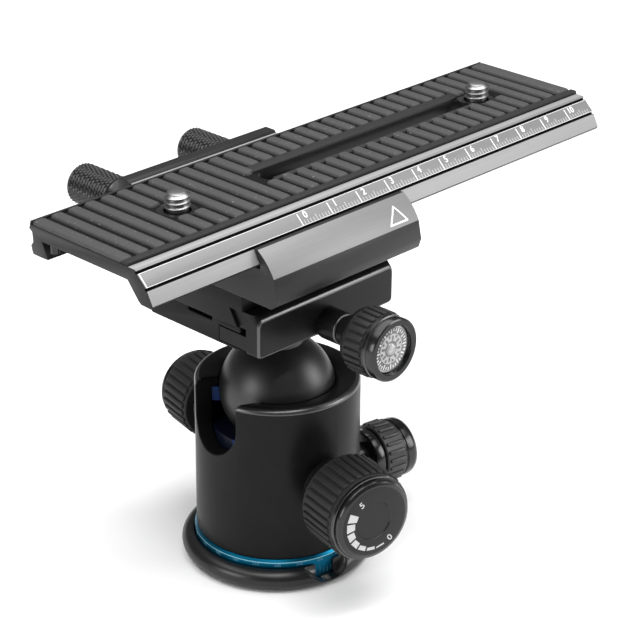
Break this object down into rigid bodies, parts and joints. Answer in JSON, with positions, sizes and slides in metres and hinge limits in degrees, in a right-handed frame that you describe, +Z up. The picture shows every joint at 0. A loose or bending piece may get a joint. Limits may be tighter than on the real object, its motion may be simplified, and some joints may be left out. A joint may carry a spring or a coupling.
{
  "type": "macro focusing rail with ball head",
  "caption": "Macro focusing rail: a grooved rubber-topped slider on a rack-driven carriage, held by a screw clamp on a lockable ball head with a panning base",
  "frame": {"origin": "centre of the base's underside, at the mouth of the tripod thread", "axes": "+X along the rail, +Z up, the clamp's knob and the focusing scale face -Y"},
  "size_m": [0.1588, 0.0954, 0.1045],
  "materials": {
    "black_metal": "satin black anodised aluminium with a soft sheen",
    "ball_metal": "smooth black coating, polished round the ball",
    "blue_metal": "blue anodised aluminium",
    "liner_plastic": "blue low-friction plastic",
    "bare_aluminium": "brushed along the rail, clear anodised",
    "dark_aluminium": "dark grey anodised, brushed along the rail, with machined bright front faces",
    "steel": "turned steel",
    "brass": "turned brass",
    "rubber_grip": "ribbed black rubber",
    "rubber_top": "dark grey rubber with cross grooves",
    "knob_end": "satin black, turned face",
    "dial": "silver dial with fine marks",
    "lens": "clear dome"
  },
  "bodies": {
    "base": {"base_flange": "black_metal", "pan_spindle": "steel", "retainer_disc": "steel", "retainer_screw": "steel"},
    "head": {"ball_housing": "black_metal", "bearing_block": "steel", "pan_scale_ring": "blue_metal", "ball_liner": "liner_plastic", "ball_cup": "liner_plastic", "pan_shoe": "brass"},
    "main_knob": {"main_screw": "steel", "main_core": "knob_end", "main_grip": "rubber_grip", "main_cap": "knob_end"},
    "friction_knob": {"friction_screw": "steel", "friction_core": "knob_end", "friction_grip": "rubber_grip", "friction_cap": "knob_end"},
    "pan_knob": {"pan_screw": "steel", "pan_core": "knob_end", "pan_grip": "rubber_grip", "pan_cap": "knob_end"},
    "ball_body": {"ball": "ball_metal"},
    "clamp": {"ball_stem": "ball_metal", "clamp_base": "black_metal", "clamp_screw": "steel"},
    "moving_jaw": {"clamp_jaw": "black_metal"},
    "clamp_knob": {"jaw_screw": "steel", "clamp_core": "knob_end", "clamp_grip": "rubber_grip", "clamp_bezel": "knob_end", "dial_face": "dial", "dial_lens": "lens"},
    "carriage": {"dovetail_plate": "black_metal", "plate_screws": "steel", "carriage_body": "dark_aluminium", "gib_strip": "bare_aluminium", "drive_bush": "brass", "lock_washer": "steel"},
    "drive": {"pinion_shaft": "steel", "drive_knob": "knob_end"},
    "lock": {"lock_screw": "steel", "lock_knob": "knob_end"},
    "slider": {"slider_plate": "dark_aluminium", "rubber_pad": "rubber_top", "rack_strip": "steel", "rack_screws": "steel", "stop_screws": "steel"},
    "left_camera_screw": {"camera_screw_a": "steel"},
    "right_camera_screw": {"camera_screw_b": "steel"}
  },
  "joints": [
    {"name": "pan_turn", "type": "hinge", "parent": "base", "child": "head", "pos_m": [0, 0, 0.012], "axis": [0, 0, 1], "continuous": true},
    {"name": "main_turn", "type": "hinge", "parent": "head", "child": "main_knob", "pos_m": [-0.00758, -0.03417, 0.028], "axis": [-0.2164, -0.9763, 0], "range_deg": [0, 270]},
    {"name": "friction_turn", "type": "hinge", "parent": "head", "child": "friction_knob", "pos_m": [0.00758, 0.03417, 0.028], "axis": [0.2164, 0.9763, 0], "range_deg": [0, 180]},
    {"name": "pan_lock_turn", "type": "hinge", "parent": "head", "child": "pan_knob", "pos_m": [0.0325, -0.00573, 0.0163], "axis": [0.9848, -0.1736, 0], "range_deg": [0, 270]},
    {"name": "ball_tilt", "type": "hinge", "parent": "head", "child": "ball_body", "pos_m": [0, 0, 0.0455], "axis": [-0.1564, -0.9877, 0], "range_deg": [-35, 90]},
    {"name": "ball_spin", "type": "hinge", "parent": "ball_body", "child": "clamp", "pos_m": [0, 0, 0.0455], "axis": [0, 0, 1], "continuous": true},
    {"name": "jaw_slide", "type": "slide", "parent": "clamp", "child": "moving_jaw", "axis": [0, -1, 0], "range_m": [0, 0.003]},
    {"name": "clamp_knob_turn", "type": "hinge", "parent": "moving_jaw", "child": "clamp_knob", "pos_m": [0, -0.025, 0.069], "axis": [0, -1, 0], "range_deg": [0, 2165]},
    {"name": "plate_slide", "type": "slide", "parent": "clamp", "child": "carriage", "axis": [1, 0, 0], "range_m": [-0.01, 0.01]},
    {"name": "slider_move", "type": "slide", "parent": "carriage", "child": "slider", "axis": [1, 0, 0], "range_m": [-0.07, 0.03]},
    {"name": "drive_turn", "type": "hinge", "parent": "carriage", "child": "drive", "pos_m": [-0.0176, 0.034, 0.0905], "axis": [0, 1, 0], "range_deg": [-1115, 478]},
    {"name": "lock_turn", "type": "hinge", "parent": "carriage", "child": "lock", "pos_m": [0.0188, 0.034, 0.0905], "axis": [0, 1, 0], "range_deg": [0, 360]},
    {"name": "left_screw_turn", "type": "hinge", "parent": "slider", "child": "left_camera_screw", "pos_m": [-0.0276, 0.0051, 0.0985], "axis": [0, 0, 1], "continuous": true},
    {"name": "right_screw_turn", "type": "hinge", "parent": "slider", "child": "right_camera_screw", "pos_m": [0.0795, 0.0051, 0.0985], "axis": [0, 0, 1], "continuous": true}
  ],
  "couplings": [
    {"joint": "clamp_knob_turn", "follows": "jaw_slide", "rad_per_m": 12566},
    {"joint": "drive_turn", "follows": "slider_move", "rad_per_m": 277.78}
  ]
}
